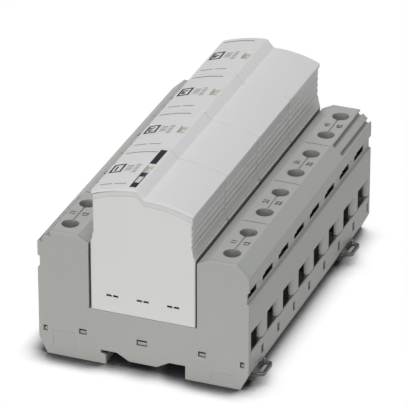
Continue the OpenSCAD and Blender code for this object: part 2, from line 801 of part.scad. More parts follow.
// Discharge element with its two blades
module gap_cartridge(i) {
    core_half = blade_x - blade_t / 2;
    core_z0 = plug_floor_z + 0.1;
    core_h = 30;
    drum_d = 24;
    blade_tip = foot_z + bar_t + 1.4;
    color([0.70, 0.66, 0.60]) translate([0, pole_y(i), 0]) {
        block([-core_half, -blade_w, core_z0], [core_half, blade_w, core_z0 + core_h - drum_d / 2]);
        translate([-core_half, 0, core_z0 + core_h - drum_d / 2])
            rotate([0, 90, 0]) cylinder(d = drum_d, h = 2 * core_half, $fn = 64);
        for (s = [-1, 1])
            translate([s * blade_x, 0, (blade_tip + core_z0 + core_h - 2) / 2])
                cube([blade_t + 2 * eps, blade_w, core_z0 + core_h - 2 - blade_tip], center = true);
    }
}

from_underside() base_tub();
for (s = sides) {
    from_underside() terminal_hood(s);
    from_underside() contact_bars(s);
    for (i = terminal_ids) {
        from_underside() clamp_screw(s, i);
        from_underside() clamp_cage(s, i);
    }
}
from_underside() end_plate(-1);  // end_plate_near
from_underside() end_plate(1);  // end_plate_far
from_underside() rail_latch(latch_ys[0]);  // rail_latch_near
from_underside() rail_latch(latch_ys[1]);  // rail_latch_far
from_underside() latch_spring(latch_ys[0]);  // latch_spring_near
from_underside() latch_spring(latch_ys[1]);  // latch_spring_far
for (i = pole_ids) {
    from_underside() plug_housing(i);
    from_underside() plug_cover(i);
    from_underside() gap_cartridge(i);
    from_underside() status_flag(i);
}
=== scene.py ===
"""Looks of a pluggable surge arrester: finishes, printed marks, lenses and studio."""

import logging
import math
from dataclasses import dataclass, field
from enum import Enum
from typing import Dict, List, Optional, Sequence, Tuple, Union

import bmesh
import bpy
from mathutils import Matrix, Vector
from mathutils.bvhtree import BVHTree


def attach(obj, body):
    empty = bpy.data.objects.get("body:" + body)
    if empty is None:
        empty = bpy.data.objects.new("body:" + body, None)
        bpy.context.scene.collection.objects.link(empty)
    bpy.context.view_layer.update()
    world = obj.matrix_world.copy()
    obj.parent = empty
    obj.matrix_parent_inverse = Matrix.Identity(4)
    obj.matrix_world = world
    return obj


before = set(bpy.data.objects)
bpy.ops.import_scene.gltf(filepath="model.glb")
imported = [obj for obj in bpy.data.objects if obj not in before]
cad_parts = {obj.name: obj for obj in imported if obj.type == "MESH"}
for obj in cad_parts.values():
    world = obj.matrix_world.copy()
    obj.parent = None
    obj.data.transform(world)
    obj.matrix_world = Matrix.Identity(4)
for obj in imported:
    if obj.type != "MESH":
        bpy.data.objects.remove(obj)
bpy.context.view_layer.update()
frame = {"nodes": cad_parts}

LOG = logging.getLogger("arrester")
MM = 0.001
POLES = 4
MODULES = 8
EDGE_GAIN = 5.0
BEVEL_SAMPLES = 6
COVER_SAMPLES = 8
FIGURE_EM = 1.4
FIGURE_STEPS = 3

# Noise patterns: waves a metre, and octaves
CLOUDS = (26.0, 4.0)
GRAIN = (2400.0, 3.0)
SPECKLE = (900.0, 1.0)
TARNISH = (160.0, 4.0)
INK_COVER = (1500.0, 3.0)
MILK = (420.0, 2.0)
PAINT = (700.0, 3.0)
FLOOR_CLOUDS = (3.0, 2.0)

Colour = Tuple[float, float, float]
Field = Tuple[float, float, float, float]
WHITE: Colour = (1.0, 1.0, 1.0)
BASE_GREY: Colour = (0.366, 0.372, 0.350)
Number = Union["Sock", float, int]


def scaled(colour: Colour, factor: float, lift: float = 0.0) -> Colour:
    """A colour times a factor plus a lift, held at white."""
    return tuple(min(1.0, c * factor + lift) for c in colour)


class Sock:
    """A node socket that takes part in Python arithmetic; each operation adds a Math node."""

    def __init__(self, shader: "ShaderBuilder", socket: bpy.types.NodeSocket) -> None:
        """Wraps one output socket of a shader under construction."""
        self.shader = shader
        self.socket = socket

    def _math(self, operation: str, first: Number, second: Number = 0.0) -> "Sock":
        """Adds one Math node.

        Args:
            operation: the Math node's operation.
            first: its first value or link.
            second: its second value or link.

        Returns:
            The node's output.
        """
        return self.shader.node("ShaderNodeMath", {"operation": operation}, {0: first, 1: second})

    def __add__(self, other: Number) -> "Sock":
        """self + other."""
        return self._math("ADD", self, other)

    __radd__ = __add__

    def __sub__(self, other: Number) -> "Sock":
        """self - other."""
        return self._math("SUBTRACT", self, other)

    def __rsub__(self, other: Number) -> "Sock":
        """other - self."""
        return self._math("SUBTRACT", other, self)

    def __mul__(self, other: Number) -> "Sock":
        """self * other."""
        return self._math("MULTIPLY", self, other)

    __rmul__ = __mul__

    def __truediv__(self, other: Number) -> "Sock":
        """self / other."""
        return self._math("DIVIDE", self, other)

    def __rtruediv__(self, other: Number) -> "Sock":
        """other / self."""
        return self._math("DIVIDE", other, self)

    def __pow__(self, other: Number) -> "Sock":
        """self ** other."""
        return self._math("POWER", self, other)

    def __rpow__(self, other: Number) -> "Sock":
        """other ** self."""
        return self._math("POWER", other, self)

    def __mod__(self, other: Number) -> "Sock":
        """self % other, floored."""
        return self._math("FLOORED_MODULO", self, other)

    def __rmod__(self, other: Number) -> "Sock":
        """other % self, floored."""
        return self._math("FLOORED_MODULO", other, self)

    def __lt__(self, other: Number) -> "Sock":
        """1 where self is below other, else 0."""
        return self._math("LESS_THAN", self, other)

    def __gt__(self, other: Number) -> "Sock":
        """1 where self is above other, else 0."""
        return self._math("GREATER_THAN", self, other)

    def __abs__(self) -> "Sock":
        """self without its sign."""
        return self._math("ABSOLUTE", self)

    def swing(self, amount: float) -> "Sock":
        """self, from 0 to 1, as a swing about zero that is this wide."""
        return (self - 0.5) * amount

    def clamped(self) -> "Sock":
        """self held between 0 and 1."""
        return self.shader.node("ShaderNodeClamp", {}, {0: self})


class ShaderBuilder:
    """One material's or world's node tree under construction."""

    def __init__(self, owner: Union[bpy.types.Material, bpy.types.World]) -> None:
        """Starts with an empty tree that has only its output node.

        Args:
            owner: the material or world that the tree belongs to.
        """
        owner.use_nodes = True
        self.owner = owner
        self.tree = owner.node_tree
        self.tree.nodes.clear()
        kind = "World" if isinstance(owner, bpy.types.World) else "Material"
        self.end = self.tree.nodes.new(f"ShaderNodeOutput{kind}").inputs["Surface"]

    @classmethod
    def named(cls, name: str) -> "ShaderBuilder":
        """Starts a new material with that name."""
        return cls(bpy.data.materials.new(name))

    def close(self, surface: Sock) -> bpy.types.ID:
        """Links the surface to the output and returns the material or world."""
        self.tree.links.new(surface.socket, self.end)
        return self.owner

    def node(
        self,
        kind: str,
        settings: Optional[Dict[str, object]] = None,
        inputs: Optional[Dict[Union[int, str], object]] = None,
        output: Union[int, str] = 0,
    ) -> Sock:
        """Adds any node.

        Args:
            kind: the node's type.
            settings: its own settings, set before the sockets.
            inputs: values or links of its input sockets, by name or place.
            output: which output to return, by name or place.

        Returns:
            The chosen output.
        """
        made = self.tree.nodes.new(kind)
        for key, value in (settings or {}).items():
            setattr(made, key, value)
        for key, value in (inputs or {}).items():
            if isinstance(value, Sock):
                self.tree.links.new(value.socket, made.inputs[key])
            elif isinstance(value, tuple) and made.inputs[key].type == "RGBA":
                made.inputs[key].default_value = (*value, 1.0)
            else:
                made.inputs[key].default_value = value
        return Sock(self, made.outputs[output])

    def mix(self, factor: Number, first: object, second: object) -> Sock:
        """Mixes two colours.

        Args:
            factor: 0 gives first and 1 gives second.
            first: a colour or link.
            second: a colour or link.

        Returns:
            The mixed colour.
        """
        inputs = {0: factor, 6: first, 7: second}
        return self.node("ShaderNodeMix", {"data_type": "RGBA"}, inputs, 2)

    def noise(self, scale: float, detail: float) -> Sock:
        """Smooth noise over the object's own place, from 0 to 1.

        Args:
            scale: waves a metre.
            detail: octaves.

        Returns:
            The noise value.
        """
        place = self.node("ShaderNodeTexCoord", output="Object")
        inputs = {"Vector": place, "Scale": scale, "Detail": detail}
        return self.node("ShaderNodeTexNoise", inputs=inputs)

    def split(self, vector: Sock) -> Tuple[Sock, Sock, Sock]:
        """X, Y and Z of a vector."""
        outputs = self.node("ShaderNodeSeparateXYZ", inputs={0: vector}).socket.node.outputs
        return tuple(Sock(self, outputs[k]) for k in range(3))

    def axes(self) -> Tuple[Sock, Sock, Sock]:
        """X, Y and Z of the shaded point in the part's frame, in metres."""
        return self.split(self.node("ShaderNodeTexCoord", output="Object"))

    def rounded(self, radius: float) -> Tuple[Sock, Sock]:
        """Softens the edges that light catches.

        Args:
            radius: the edge radius in metres.

        Returns:
            The softened normal, and a mask that is 1 on an edge.
        """
        soft = self.node("ShaderNodeBevel", {"samples": BEVEL_SAMPLES}, {"Radius": radius})
        flat = self.node("ShaderNodeNewGeometry", output="Normal")
        settings = {"operation": "DOT_PRODUCT"}
        along = self.node("ShaderNodeVectorMath", settings, {0: soft, 1: flat}, "Value")
        return soft, ((1.0 - along) * EDGE_GAIN).clamped()

    def crevice(self, distance: float, facing: Optional[Sequence[float]] = None) -> Sock:
        """1 in a tight corner or seam and 0 in the open.

        Args:
            distance: how far the corner reaches, in metres.
            facing: the way to look for cover, in place of the surface's own normal.

        Returns:
            The mask.
        """
        inputs: Dict[Union[int, str], object] = {"Distance": distance}
        if facing is not None:
            inputs["Normal"] = self.node("ShaderNodeCombineXYZ", inputs=dict(enumerate(facing)))
        settings = {"samples": COVER_SAMPLES}
        return 1.0 - self.node("ShaderNodeAmbientOcclusion", settings, inputs, "AO")

    def seen(self) -> Sock:
        """Tells what is looked at from what only gives light.

        Returns:
            1 for what the camera sees, also in metal and through glass, and 0 for light.
        """
        kinds = ("Camera", "Glossy", "Transmission")
        rays = [self.node("ShaderNodeLightPath", output=f"Is {kind} Ray") for kind in kinds]
        return (rays[0] + rays[1] + rays[2]).clamped()

    def finish(self, **sockets: object) -> bpy.types.Material:
        """Adds the surface shader and closes the material.

        Args:
            sockets: values or links of the shader, with _ for a space in the name.

        Returns:
            The finished material.
        """
        named = {key.replace("_", " "): value for key, value in sockets.items()}
        return self.close(self.node("ShaderNodeBsdfPrincipled", inputs=named))


@dataclass(frozen=True)
class MouldedPlastic:
    """Injection-moulded plastic with a fine spark-eroded grain."""

    name: str
    colour: Colour
    roughness: float = 0.46
    mottle: float = 0.035
    grain: float = 0.10
    edge_radius: float = 0.45 * MM
    # Strength of the painted highlight along the edges.
    edge_highlight: float = 0.35
    # Strength of the painted shade in seams and tight corners.
    seam_shade: float = 0.55
    seam_reach: float = 1.6 * MM
    hollow_reach: float = 8.0 * MM
    hollow_below: float = 48.6 * MM
    hollow_gain: float = 4.0
    hollow_cover: float = 0.9
    hollow_tint: float = 0.08
    # How light the painted highlight along the edges is.
    edge_highlight_tint: float = 1.35
    # How dark the painted seam shade is, and how fast it falls off.
    seam_shade_tint: float = 0.32
    seam_power: float = 1.6
    bump_depth: float = 0.12 * MM
    cloud_share: float = 0.75
    speckle_share: float = 0.25
    grain_gloss: float = 0.16
    cloud_gloss: float = 0.08
    edge_gloss: float = 0.08
    refraction: float = 1.5

    def shade(self, shader: ShaderBuilder, body: Sock) -> Sock:
        """Darkens the deep hollows that light doesn't reach.

        Args:
            shader: the material under construction.
            body: the colour so far.

        Returns:
            The shaded colour.
        """
        tight = shader.crevice(self.hollow_reach).swing(self.hollow_gain).clamped()
        low = shader.axes()[2] < self.hollow_below
        return shader.mix(tight * low * self.hollow_cover, body, self.tinted(self.hollow_tint))

    def tinted(self, factor: float) -> Colour:
        """The plastic's colour times a factor."""
        return scaled(self.colour, factor)

    def build(self) -> bpy.types.Material:
        """Builds the node material.

        Returns:
            The finished material.
        """
        shader = ShaderBuilder.named(self.name)
        clouds = shader.noise(*CLOUDS)
        grain = shader.noise(*GRAIN)
        speckle = shader.noise(*SPECKLE)
        normal, edge = shader.rounded(self.edge_radius)
        mottling = clouds * self.cloud_share + speckle * self.speckle_share
        body = shader.mix(mottling, self.tinted(1.0 - self.mottle), self.tinted(1.0 + self.mottle))
        # Painted highlight: the bevel mask lightens the colour along the edges.
        body = shader.mix(edge * self.edge_highlight, body, self.tinted(self.edge_highlight_tint))
        # Painted shade: seams and tight corners are darkened by ambient occlusion.
        seam = shader.crevice(self.seam_reach) ** self.seam_power * self.seam_shade
        body = shader.mix(seam, body, self.tinted(self.seam_shade_tint))
        body = self.shade(shader, body)
        gloss = self.roughness + grain.swing(self.grain_gloss) + clouds.swing(self.cloud_gloss)
        gloss = (gloss - edge * self.edge_gloss).clamped()
        bump = shader.node(
            "ShaderNodeBump",
            inputs={
                "Strength": self.grain,
                "Distance": self.bump_depth,
                "Height": grain,
                "Normal": normal,
            },
        )
        return shader.finish(Base_Color=body, Roughness=gloss, Normal=bump, IOR=self.refraction)


@dataclass(frozen=True)
class HoodPlastic(MouldedPlastic):
    """Hood plastic: painted light on the wire openings' jambs, painted shade in the chambers
    behind.
    """

    half_width: float = 44.0 * MM
    wall: float = 2.0 * MM
    entry: Tuple[float, float] = (10.5 * MM, 18.8 * MM)
    chamber_top: float = 31.8 * MM
    vent_top: float = 38.3 * MM
    pocket: float = 5.5 * MM
    inner_wall: float = 16.0 * MM
    # How much lighter the painted light makes the jambs.
    jamb_highlight: float = 1.7
    jamb_set: float = 1.15 * MM
    wall_set: float = 0.95 * MM
    fade: float = 0.3 * MM
    # Painted shade in the chambers: how much, and how dark.
    chamber_shade_cover: float = 0.95
    chamber_shade_tint: float = 0.05

    def shade(self, shader: ShaderBuilder, body: Sock) -> Sock:
        """Paints light onto the jambs and shade into the chambers, by their depth behind the side
        wall.

        Args:
            shader: the material under construction.
            body: the colour so far.

        Returns:
            The shaded colour.
        """
        x, _, z = shader.axes()
        depth = self.half_width - abs(x)
        jamb = (z > self.entry[0]) * (z < self.entry[1])
        # Painted light: the jambs are lightened by their depth behind the side wall.
        body = shader.mix(jamb * (depth / self.wall).clamped(), body, self.tinted(self.jamb_highlight))
        start = jamb * self.jamb_set + self.wall_set
        behind = ((depth - start) / self.fade).clamped()
        inside = behind * (depth < self.inner_wall) * (z < self.vent_top)
        well = (z > self.chamber_top) * (depth > self.pocket)
        # Painted shade: the chambers behind the wall are darkened nearly to black.
        dark = inside * (1.0 - well) * self.chamber_shade_cover
        return shader.mix(dark, body, self.tinted(self.chamber_shade_tint))


@dataclass(frozen=True)
class CoverPlastic(MouldedPlastic):
    """Plastic of a plug's cover, with painted light on the step beside the label, the end rims and
    the gap faces.
    """

    # How much lighter the painted light makes the step.
    step_highlight: float = 1.14
    # How much lighter the painted light makes the end rims and the faces in the gaps.
    rim_highlight: float = 1.12
    gap_highlight: float = 1.35
    end_y: float = 71.0 * MM
    step_slope: float = 0.35
    step_gain: float = 6.0
    step_up: float = 0.3
    end_slope: float = 0.7

    def shade(self, shader: ShaderBuilder, body: Sock) -> Sock:
        """Paints light onto the step that slopes towards the right, the rims at the ends and the
        faces in the gaps.

        Args:
            shader: the material under construction.
            body: the colour so far.

        Returns:
            The shaded colour.
        """
        normal = shader.node("ShaderNodeNewGeometry", output="True Normal")
        across, along, up = shader.split(normal)
        # Painted light: the step's faces are lightened.
        step = ((across - self.step_slope) * self.step_gain).clamped() * (up > self.step_up)
        body = shader.mix(step, body, self.tinted(self.step_highlight))
        # Painted light: end rims and the faces in the gaps between covers are lightened.
        between = abs(shader.axes()[1]) < self.end_y
        rim = shader.mix(between, self.tinted(self.rim_highlight), self.tinted(self.gap_highlight))
        return shader.mix(abs(along) > self.end_slope, body, rim)


@dataclass(frozen=True)
class PlatedMetal:
    """Sheet or turned metal with a dull plating, and a painted highlight along its edges."""

    name: str
    colour: Colour
    metallic: float = 0.85
    roughness: float = 0.42
    edge_highlight: float = 0.4
    # Painted highlight on the edges: how much it lifts and scales the colour.
    edge_highlight_lift: float = 0.08
    edge_highlight_gain: float = 1.5
    dulling: float = 0.72
    edge_radius: float = 0.25 * MM
    streak: Tuple[float, float, float] = (900.0, 900.0, 90.0)
    streak_detail: float = 3.0
    streak_gloss: float = 0.22
    tarnish_gloss: float = 0.15
    bump: float = 0.12
    bump_depth: float = 0.05 * MM

    def build(self) -> bpy.types.Material:
        """Builds the node material.

        Returns:
            The finished material.
        """
        shader = ShaderBuilder.named(self.name)
        place = shader.node("ShaderNodeTexCoord", output="Object")
        drawn = shader.node("ShaderNodeMapping", inputs={"Vector": place, "Scale": self.streak})
        streaks = {"Vector": drawn, "Scale": 1.0, "Detail": self.streak_detail}
        lines = shader.node("ShaderNodeTexNoise", inputs=streaks)
        tarnish = shader.noise(*TARNISH)
        normal, edge = shader.rounded(self.edge_radius)
        highlit_edge_colour = scaled(self.colour, self.edge_highlight_gain, self.edge_highlight_lift)
        body = shader.mix(tarnish, scaled(self.colour, self.dulling), self.colour)
        # Painted highlight: the bevel mask brightens the edges.
        body = shader.mix(edge * self.edge_highlight, body, highlit_edge_colour)
        gloss = self.roughness + lines.swing(self.streak_gloss) + tarnish.swing(self.tarnish_gloss)
        gloss = gloss.clamped()
        bump = shader.node(
            "ShaderNodeBump",
            inputs={
                "Strength": self.bump,
                "Distance": self.bump_depth,
                "Height": lines,
                "Normal": normal,
            },
        )
        return shader.finish(Base_Color=body, Roughness=gloss, Normal=bump, Metallic=self.metallic)


@dataclass(frozen=True)
class PrintInk:
    """Pad-printed ink, a little uneven in its cover."""

    name: str
    colour: Colour
    roughness: float = 0.5
    gloss_swing: float = 0.2
    sheen: float = 0.06
    thin_gain: float = 1.3
    thin_lift: float = 0.006

    def build(self) -> bpy.types.Material:
        """Builds the node material.

        Returns:
            The finished material.
        """
        shader = ShaderBuilder.named(self.name)
        cover = shader.noise(*INK_COVER)
        body = shader.mix(cover, self.colour, scaled(self.colour, self.thin_gain, self.thin_lift))
        gloss = (self.roughness + cover.swing(self.gloss_swing)).clamped()
        return shader.finish(Base_Color=body, Roughness=gloss, Specular_IOR_Level=self.sheen)


@dataclass(frozen=True)
class ClearLens:
    """Pale, milky window plastic that lets the flag's colour through."""

    name: str
    colour: Colour
    cover: float
    roughness: float = 0.2
    edge_radius: float = 0.2 * MM
    # Colour and strength of the painted highlight on the lens's edges.
    edge_highlight_colour: Colour = (0.80, 0.82, 0.79)
    edge_highlight: float = 0.5
    edge_cover: float = 0.3
    depth_tint: float = 0.86
    milk_gloss: float = 0.12
    milk_cover: float = 0.1

    def build(self) -> bpy.types.Material:
        """Builds the node material.

        Returns:
            The finished material.
        """
        shader = ShaderBuilder.named(self.name)
        milk = shader.noise(*MILK)
        normal, edge = shader.rounded(self.edge_radius)
        body = shader.mix(milk, scaled(self.colour, self.depth_tint), self.colour)
        # Painted highlight: the lens's edges are lightened.
        body = shader.mix(edge * self.edge_highlight, body, self.edge_highlight_colour)
        gloss = (self.roughness + milk.swing(self.milk_gloss)).clamped()
        alpha = (self.cover + edge * self.edge_cover + milk.swing(self.milk_cover)).clamped()
        return shader.finish(Base_Color=body, Roughness=gloss, Normal=normal, Alpha=alpha)


@dataclass(frozen=True)
class StatusPaint:
    """Flag that is green at rest under its window, and red on the length that slides in."""

    name: str
    good: Colour
    spent: Colour
    pitch: float = 36.0 * MM
    border: float = 15.2 * MM
    bloom: Colour = (0.75, 0.78, 0.72)
    bloom_cover: float = 0.08
    roughness: float = 0.45
    cover_gloss: float = 0.2

    def build(self) -> bpy.types.Material:
        """Builds the node material.

        Returns:
            The finished material.
        """
        shader = ShaderBuilder.named(self.name)
        along = shader.axes()[1]
        local = (along + 2.0 * self.pitch) % self.pitch
        cover = shader.noise(*PAINT)
        body = shader.mix(local < self.border, self.good, self.spent)
        body = shader.mix(cover * self.bloom_cover, body, self.bloom)
        gloss = (self.roughness + cover * self.cover_gloss).clamped()
        return shader.finish(Base_Color=body, Roughness=gloss)


class Finish(Enum):
    """Every finish on the part, by what carries it."""

    BASE = MouldedPlastic("base_plastic", BASE_GREY)
    # End plates: a stronger painted highlight on their edges, less painted seam shade and no
    # painted hollow shade.
    PLATE = MouldedPlastic(
        "plate_plastic",
        BASE_GREY,
        edge_radius=0.6 * MM,
        edge_highlight=0.8,
        seam_shade=0.2,
        hollow_below=-1.0,
    )
    HOOD = HoodPlastic("hood_plastic", (0.365, 0.373, 0.353))
    HOUSING = MouldedPlastic(
        "plug_plastic",
        (0.640, 0.640, 0.634),
        roughness=0.44,
        edge_highlight=0.5,
        seam_shade=0.5,
        seam_reach=1.0 * MM,
    )
    COVER = CoverPlastic(
        "cover_plastic",
        (0.645, 0.635, 0.639),
        roughness=0.42,
        edge_highlight=0.6,
        seam_shade=0.0,
    )
    # The latch's bright edges are a painted highlight.
    LATCH = PlatedMetal("latch_plate", (0.12, 0.12, 0.117), metallic=0.6, edge_highlight=0.8, edge_highlight_lift=0.5)
    SCREW = PlatedMetal("screw_steel", (0.30, 0.31, 0.295))
    CAGE = PlatedMetal("cage_steel", (0.52, 0.52, 0.49))
    SPRING = PlatedMetal("spring_wire", (0.60, 0.60, 0.60), roughness=0.3)
    COPPER = PlatedMetal("contact_copper", (0.72, 0.43, 0.27), roughness=0.35)
    CARTRIDGE = MouldedPlastic("cartridge_ceramic", (0.50, 0.46, 0.40), roughness=0.6)
    FLAG = StatusPaint("flag_paint", (0.72, 0.86, 0.54), (0.75, 0.04, 0.02))
    LENS = ClearLens("status_lens", (0.80, 0.80, 0.79), 0.5)
    # A darker copy of the lens, for one facet: painted shade.
    LENS_PAINTED_SHADE = ClearLens("status_lens_painted_shade", (0.60, 0.60, 0.58), 0.5)
    TINT = PrintInk("lens_tint", (0.54, 0.57, 0.50))
    INK_BLACK = PrintInk("ink_black", (0.012, 0.012, 0.014))
    INK_DARK = PrintInk("ink_dark", (0.045, 0.045, 0.05))
    INK_GREY = PrintInk("ink_grey", (0.20, 0.20, 0.21))
    INK_SOFT = PrintInk("ink_soft", (0.26, 0.26, 0.28))
    INK_PALE = PrintInk("ink_pale", (0.50, 0.49, 0.50))
    INK_BLUE = PrintInk("ink_blue", (0.026, 0.036, 0.066))


class Palette:
    """Builds each finish once and dresses objects with it."""

    def __init__(self) -> None:
        """Starts with no material built."""
        self._made: Dict[Finish, bpy.types.Material] = {}

    def material(self, finish: Finish) -> bpy.types.Material:
        """Finds the material of a finish, and builds it on first use.

        Args:
            finish: what a piece is made of.

        Returns:
            Its material.
        """
        if finish not in self._made:
            self._made[finish] = finish.value.build()
        return self._made[finish]

    def dress(self, node: str, finish: Finish) -> None:
        """Gives a CAD node one finish.

        Args:
            node: the node's name.
            finish: what it is made of.
        """
        mesh = frame["nodes"][node].data
        mesh.materials.clear()
        mesh.materials.append(self.material(finish))
        LOG.info("%s: %s", node, finish.name)


class Ground:
    """Finds the surface of a CAD node, seen from above."""

    START = 1.0
    DOWN = Vector((0.0, 0.0, -1.0))

    def __init__(self, node: str) -> None:
        """Reads the node's mesh, which lies in the part's frame.

        Args:
            node: the node's name.
        """
        mesh = frame["nodes"][node].data
        mesh.calc_loop_triangles()
        points = [v.co.copy() for v in mesh.vertices]
        faces = [tuple(t.vertices) for t in mesh.loop_triangles]
        self.tree = BVHTree.FromPolygons(points, faces)

    def at(self, x: float, y: float, lift: float) -> Vector:
        """The point over (x, y), lifted off the surface.

        Args:
            x: place across the rail, in metres.
            y: place along the rail, in metres.
            lift: height above the surface, in metres.

        Returns:
            The lifted point.
        """
        hit, normal, _, _ = self.tree.ray_cast(Vector((x, y, self.START)), self.DOWN)
        if hit is None:
            raise ValueError(f"no surface at {x:.4f}, {y:.4f}")
        return hit + normal.normalized() * lift


@dataclass
class MarkSheet:
    """Printed marks that lie on one surface, built as one thin mesh."""

    name: str
    ground: Ground
    body: str
    slot: str
    lift: float = 0.03 * MM
    cell: float = 1.2 * MM
    boldness: float = 0.045
    inks: List[Finish] = field(default_factory=list)
    mesh: bmesh.types.BMesh = field(default_factory=bmesh.new)

    def _ink(self, ink: Finish) -> int:
        """Finds an ink among the sheet's materials, and adds it on first use.

        Args:
            ink: the ink.

        Returns:
            Its material index.
        """
        if ink not in self.inks:
            self.inks.append(ink)
        return self.inks.index(ink)

    def box(self, x0: float, x1: float, y0: float, y1: float, ink: Finish) -> None:
        """Prints a filled rectangle, in millimetres in plan.

        Args:
            x0: its lowest place across the rail.
            x1: its highest place across the rail.
            y0: its lowest place along the rail.
            y1: its highest place along the rail.
            ink: the ink.
        """
        columns = max(1, math.ceil((x1 - x0) * MM / self.cell))
        rows = max(1, math.ceil((y1 - y0) * MM / self.cell))
        xs = [(x0 + (x1 - x0) * i / columns) * MM for i in range(columns + 1)]
        ys = [(y0 + (y1 - y0) * j / rows) * MM for j in range(rows + 1)]
        grid = [[self.mesh.verts.new(self.ground.at(x, y, self.lift)) for y in ys] for x in xs]
        index = self._ink(ink)
        for i in range(columns):
            for j in range(rows):
                left, right = grid[i], grid[i + 1]
                face = self.mesh.faces.new((left[j], right[j], right[j + 1], left[j + 1]))
                face.material_index = index

    def frame(self, x0: float, x1: float, y0: float, y1: float, line: float, ink: Finish) -> None:
        """Prints an open rectangle, in millimetres in plan.

        Args:
            x0: its lowest place across the rail.
            x1: its highest place across the rail.
            y0: its lowest place along the rail.
            y1: its highest place along the rail.
            line: the width of its lines.
            ink: the ink.
        """
        self.box(x0, x1, y0, y0 + line, ink)
        self.box(x0, x1, y1 - line, y1, ink)
        self.box(x0, x0 + line, y0 + line, y1 - line, ink)
        self.box(x1 - line, x1, y0 + line, y1 - line, ink)

    def number(
        self, value: int, x: float, y: float, height: float, ink: Finish, turn: float = 180.0
    ) -> None:
        """Prints a plain number centred on a place, in millimetres.

        Args:
            value: the number.
            x: place across the rail.
            y: place along the rail.
            height: height of the figures.
            ink: the ink.
            turn: turn about the upright, in degrees.
        """
        curve = bpy.data.curves.new("figure", "FONT")
        curve.body = str(value)
        curve.align_x = "CENTER"
        curve.align_y = "CENTER"
        curve.size = height * FIGURE_EM
        curve.resolution_u = FIGURE_STEPS
        curve.offset = height * self.boldness
        carrier = bpy.data.objects.new("figure", curve)
        figure = carrier.to_mesh()
        c, s = math.cos(math.radians(turn)), math.sin(math.radians(turn))
        index = self._ink(ink)
        corners = []
        for v in figure.vertices:
            across = (x + v.co.x * c - v.co.y * s) * MM
            along = (y + v.co.x * s + v.co.y * c) * MM
            corners.append(self.mesh.verts.new(self.ground.at(across, along, self.lift)))
        for polygon in figure.polygons:
            face = self.mesh.faces.new([corners[k] for k in polygon.vertices])
            face.material_index = index
        carrier.to_mesh_clear()
        bpy.data.objects.remove(carrier)
        bpy.data.curves.remove(curve)

    def publish(self, palette: Palette) -> None:
        """Turns the marks into a piece that rides on its body.

        Args:
            palette: where the inks come from.
        """
        for face in self.mesh.faces:
            face.normal_update()
            if face.normal.z < 0.0:
                face.normal_flip()
        data = bpy.data.meshes.new(self.name)
        self.mesh.to_mesh(data)
        self.mesh.free()
        for ink in self.inks:
            data.materials.append(palette.material(ink))
        piece = bpy.data.objects.new(self.name, data)
        bpy.context.scene.collection.objects.link(piece)
        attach(piece, self.body)
        LOG.info("%s: %d faces", self.name, len(data.polygons))


@dataclass
class BaseBlock:
    """Rail foot, terminal hoods and end plates, with the marks on the towers."""

    module: float = 18.0
    half_length: float = 72.0
    screw_x: float = 33.7
    figure_x: float = 2.6
    figure: float = 2.3
    figure_turn: float = 90.0

    def dress(self, palette: Palette) -> None:
        """Gives the base's mouldings their plastic.

        Args:
            palette: where the finishes come from.
        """
        palette.dress("base_tub", Finish.BASE)
        for side in ("right", "left"):
            palette.dress(f"terminal_hood_{side}", Finish.HOOD)
        for end in ("near", "far"):
            palette.dress(f"end_plate_{end}", Finish.PLATE)

    def mark(self, palette: Palette) -> None:
        """Prints a plain number on each side of a pole's link line, on both towers.

        Args:
            palette: where the finishes come from.
        """
        for side, sign in (("right", 1.0), ("left", -1.0)):
            ground = Ground(f"terminal_hood_{side}")
            sheet = MarkSheet(f"tower_marks_{side}", ground, "base", "base_grey")
            for pole in range(POLES):
                middle = -self.half_length + (2 * pole + 1) * self.module
                for k, offset in enumerate((-self.figure_x, self.figure_x)):
                    x = sign * self.screw_x + offset
                    value = 10 * (pole + 1) + k + 1
                    ink, turn = Finish.INK_DARK, self.figure_turn
                    sheet.number(value, x, middle, self.figure, ink, turn)
            sheet.publish(palette)


@dataclass
class TerminalRow:
    """Clamp screws, cages and contact bars of one side."""

    side: str

    def dress(self, palette: Palette) -> None:
        """Gives the row's metal pieces their plating.

        Args:
            palette: where the finishes come from.
        """
        palette.dress(f"contact_bars_{self.side}", Finish.COPPER)
        for k in range(1, MODULES + 1):
            palette.dress(f"clamp_screw_{self.side}_{k}", Finish.SCREW)
            palette.dress(f"clamp_cage_{self.side}_{k}", Finish.CAGE)


@dataclass
class RailLatch:
    """One sliding latch with its spring."""

    end: str

    def dress(self, palette: Palette) -> None:
        """Gives the latch and its spring their metal."""
        palette.dress(f"rail_latch_{self.end}", Finish.LATCH)
        palette.dress(f"latch_spring_{self.end}", Finish.SPRING)


@dataclass(frozen=True)
class Label:
    """Places of a label's marks, in millimetres from the plug's middle.

    A field is x0, x1, y0 and y1. A column of lines is their count and its first line's field.
    The bars' stretches along the plug are y0 and y1.
    """

    frame: Field = (-20.2, -15.0, -2.6, 4.8)
    frame_line: float = 0.9
    figure_place: Tuple[float, float] = (-18.0, 1.1)
    figure: float = 3.6
    columns: Tuple[Tuple[int, Field], ...] = (
        (4, (-13.9, -11.2, -1.6, -0.95)),
        (6, (-10.4, -8.6, -3.4, -2.75)),
    )
    line_step: float = 1.35
    foot_rules: Tuple[Field, ...] = ((-19.3, -14.1, -13.7, -13.0), (-13.1, -8.2, -13.7, -13.0))
    head_rule: Field = (-20.0, -6.6, 14.9, 15.6)
    bar_x: Tuple[float, float] = (-5.9, -3.1)
    upper_bar: Tuple[float, float] = (4.7, 17.2)
    lower_bar: Tuple[float, float] = (-16.2, -12.0)
    writing: Tuple[float, float] = (-12.0, -6.8)
    writing_edges: Tuple[float, float] = (0.5, 0.4)
    swatch: Tuple[float, float] = (-6.8, -3.1)
    swatch_edge: float = 1.4


